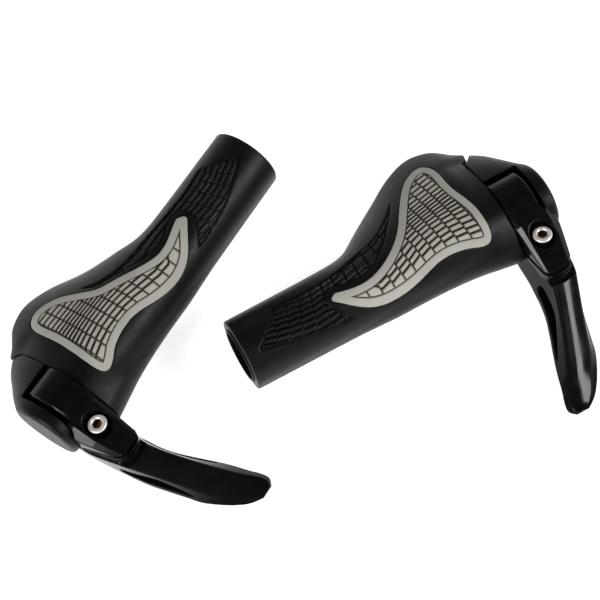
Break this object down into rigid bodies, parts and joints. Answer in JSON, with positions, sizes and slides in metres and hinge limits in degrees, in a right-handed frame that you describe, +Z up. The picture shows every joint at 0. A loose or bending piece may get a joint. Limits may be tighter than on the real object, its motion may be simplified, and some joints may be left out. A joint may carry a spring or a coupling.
{
  "type": "bar end grips",
  "caption": "Pair of handlebar grips with grey palm inlays on a swept palm wing, clamp-on bar ends with slotted horns, and push-in end caps.",
  "frame": {"origin": "centre of the pair's box at the level of the surface that the grips lie on", "axes": "+Z up; the pair lies as in the picture, seen from -Y with +X to the right; each grip's own bar axis is slanted in the XY plane"},
  "size_m": [0.2558, 0.1624, 0.032],
  "materials": {
    "black_rubber": "satin matte black",
    "grey_rubber": "matte warm grey",
    "tread_rubber": "matte black, moulded tread",
    "core_nylon": "black, slightly satin",
    "black_alloy": "gloss black paint on forged alloy",
    "steel": "bright plated steel"
  },
  "bodies": {
    "right_grip": {"right_grip_core": "core_nylon", "right_rubber_sleeve": "black_rubber", "right_palm_inlay": "grey_rubber", "right_tread_panel": "tread_rubber"},
    "right_bar_end": {"right_bar_end": "black_alloy", "right_bolt_washer": "steel", "right_threaded_insert": "steel"},
    "right_bolt": {"right_clamp_bolt": "steel"},
    "right_cap": {"right_end_cap": "black_rubber", "right_cap_ring": "black_rubber"},
    "left_grip": {"left_grip_core": "core_nylon", "left_rubber_sleeve": "black_rubber", "left_palm_inlay": "grey_rubber", "left_tread_panel": "tread_rubber"},
    "left_bar_end": {"left_bar_end": "black_alloy", "left_bolt_washer": "steel", "left_threaded_insert": "steel"},
    "left_bolt": {"left_clamp_bolt": "steel"},
    "left_cap": {"left_end_cap": "black_rubber", "left_cap_ring": "black_rubber"}
  },
  "joints": [
    {"name": "right_bar_end_turn", "type": "hinge", "parent": "right_grip", "child": "right_bar_end", "pos_m": [-0.09933, -0.03996, 0.016], "axis": [-0.5505, -0.8348, 0], "range_deg": [-40, 40]},
    {"name": "right_bolt_turn", "type": "hinge", "parent": "right_bar_end", "child": "right_bolt", "pos_m": [-0.08532, -0.05232, 0.0277], "axis": [-0.2441, 0.1609, 0.9563], "continuous": true},
    {"name": "right_cap_pull", "type": "slide", "parent": "right_grip", "child": "right_cap", "axis": [-0.5505, -0.8348, 0], "range_m": [0, 0.025]},
    {"name": "left_bar_end_turn", "type": "hinge", "parent": "left_grip", "child": "left_bar_end", "pos_m": [0.09155, 0.04663, 0.016], "axis": [-0.8729, -0.4879, 0], "range_deg": [-40, 40]},
    {"name": "left_bolt_turn", "type": "hinge", "parent": "left_bar_end", "child": "left_bolt", "pos_m": [0.10285, 0.03175, 0.0277], "axis": [-0.1426, 0.2552, 0.9563], "continuous": true},
    {"name": "left_cap_pull", "type": "slide", "parent": "left_grip", "child": "left_cap", "axis": [0.8729, 0.4879, 0], "range_m": [0, 0.025]},
    {"name": "pair_apart", "type": "slide", "parent": "right_grip", "child": "left_grip", "axis": [1, 0, 0], "range_m": [0, 0.15]}
  ]
}
